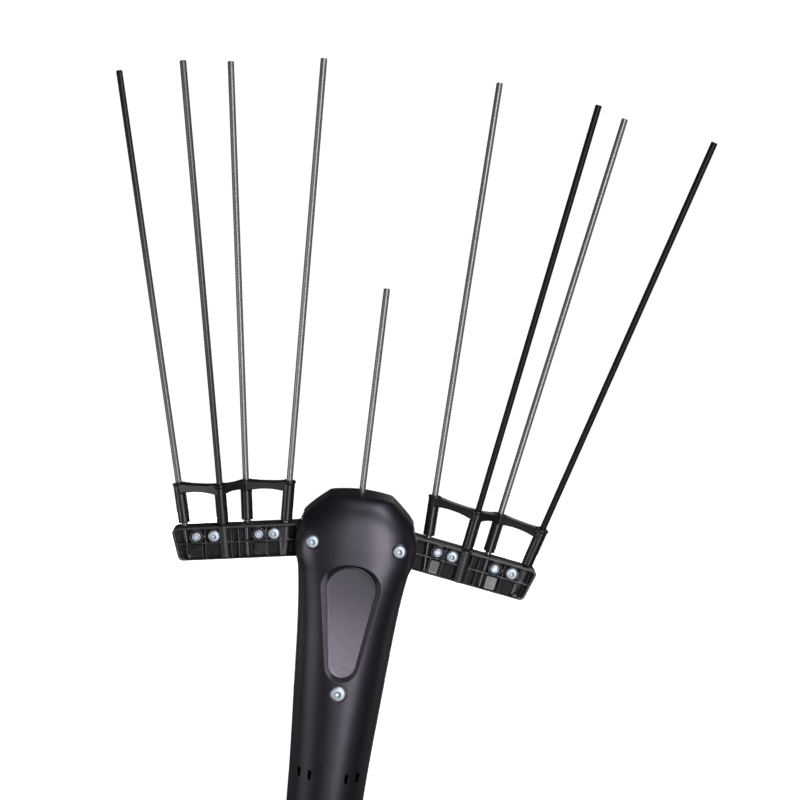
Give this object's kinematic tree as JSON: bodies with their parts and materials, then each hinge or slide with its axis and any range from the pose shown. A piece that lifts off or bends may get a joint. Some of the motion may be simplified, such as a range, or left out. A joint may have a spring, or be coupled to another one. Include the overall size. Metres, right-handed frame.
{
  "type": "olive harvester head",
  "caption": "Electric olive harvester head: tapered clam-shell casing with motor and drive, swinging combs of carbon rod tines, a fixed centre tine and a clamped pole socket.",
  "frame": {"origin": "centre of the pole socket's mouth, on the tool axis", "axes": "+Z along the tool axis from the pole towards the tines, front face of the casing towards -Y, +X to the right seen from the front"},
  "size_m": [0.4618, 0.0832, 0.6673],
  "materials": {
    "casing_plastic": "fine moulded texture, satin sheen",
    "badge_plastic": "dark semi-gloss plate, plain",
    "zinc_steel": "bright zinc plate",
    "steel": "ground steel",
    "bronze": "sintered bronze",
    "cast_aluminium": "die cast",
    "motor_steel": "drawn can",
    "ferrite": "sintered ferrite",
    "moulded_black": "moulded",
    "graphite": "carbon brush",
    "carbon_rod": "pultruded carbon rod, smooth",
    "socket_aluminium": "turned",
    "nylon": "natural nylon",
    "lead_red": "insulated wire",
    "lead_black": "insulated wire",
    "copper": "copper and laminations",
    "comb_plastic": "moulded nylon, satin"
  },
  "bodies": {
    "housing": {"front_shell": "casing_plastic", "rear_shell": "casing_plastic", "badge_plate": "badge_plastic", "pivot_bolts": "zinc_steel", "pivot_nuts": "zinc_steel", "pivot_sleeves": "steel", "thrust_washers": "bronze", "case_screw": "zinc_steel", "case_nut": "zinc_steel", "lower_case_screws": "zinc_steel", "gear_frame": "cast_aluminium", "motor_screws": "zinc_steel", "motor_can": "motor_steel", "motor_magnets": "ferrite", "motor_end_bell": "moulded_black", "motor_brushes": "graphite", "motor_bearings": "steel", "crank_axle": "steel", "guide_rods": "steel", "centre_tine": "carbon_rod", "tine_ferrule": "steel", "pole_socket": "socket_aluminium", "clamp_collar": "moulded_black", "clamp_bolt": "zinc_steel", "clamp_nut": "zinc_steel", "power_connector": "nylon", "lead_plus": "lead_red", "lead_minus": "lead_black"},
    "left_comb": {"left_arm_front": "comb_plastic", "left_arm_rear": "comb_plastic", "left_pivot_bush": "bronze", "left_tine_bridge": "comb_plastic", "left_tine_1": "carbon_rod", "left_tine_2": "carbon_rod", "left_tine_3": "carbon_rod", "left_tine_4": "carbon_rod", "left_clamp_bolts": "zinc_steel", "left_clamp_nuts": "zinc_steel"},
    "right_comb": {"right_arm_front": "comb_plastic", "right_arm_rear": "comb_plastic", "right_pivot_bush": "bronze", "right_tine_bridge": "comb_plastic", "right_tine_1": "carbon_rod", "right_tine_2": "carbon_rod", "right_tine_3": "carbon_rod", "right_tine_4": "carbon_rod", "right_clamp_bolts": "zinc_steel", "right_clamp_nuts": "zinc_steel"},
    "yoke": {"drive_yoke": "cast_aluminium", "yoke_bushes": "bronze"},
    "crank": {"crown_gear": "steel", "crank_pin": "steel", "crank_roller": "bronze", "crank_bearing": "steel"},
    "rotor": {"motor_shaft": "steel", "armature": "copper", "commutator": "copper", "drive_pinion": "steel"}
  },
  "joints": [
    {"name": "left_comb_swing", "type": "hinge", "parent": "housing", "child": "left_comb", "pos_m": [-0.034, 0, 0.3], "axis": [0, 1, 0], "range_deg": [-9, 9]},
    {"name": "right_comb_swing", "type": "hinge", "parent": "housing", "child": "right_comb", "pos_m": [0.034, 0, 0.3], "axis": [0, 1, 0], "range_deg": [-9.05, 9.05]},
    {"name": "yoke_slide", "type": "slide", "parent": "housing", "child": "yoke", "axis": [0, 0, 1], "range_m": [-0.0023, 0.0023]},
    {"name": "rotor_spin", "type": "hinge", "parent": "housing", "child": "rotor", "pos_m": [0, 0, 0.2], "axis": [0, 0, 1], "continuous": true},
    {"name": "crank_spin", "type": "hinge", "parent": "housing", "child": "crank", "pos_m": [0, 0.0156, 0.3], "axis": [0, 1, 0], "continuous": true}
  ],
  "couplings": [
    {"joint": "right_comb_swing", "follows": "left_comb_swing", "ratio": -1},
    {"joint": "yoke_slide", "follows": "left_comb_swing", "m_per_rad": -0.0145},
    {"joint": "crank_spin", "follows": "rotor_spin", "ratio": 0.33333}
  ]
}
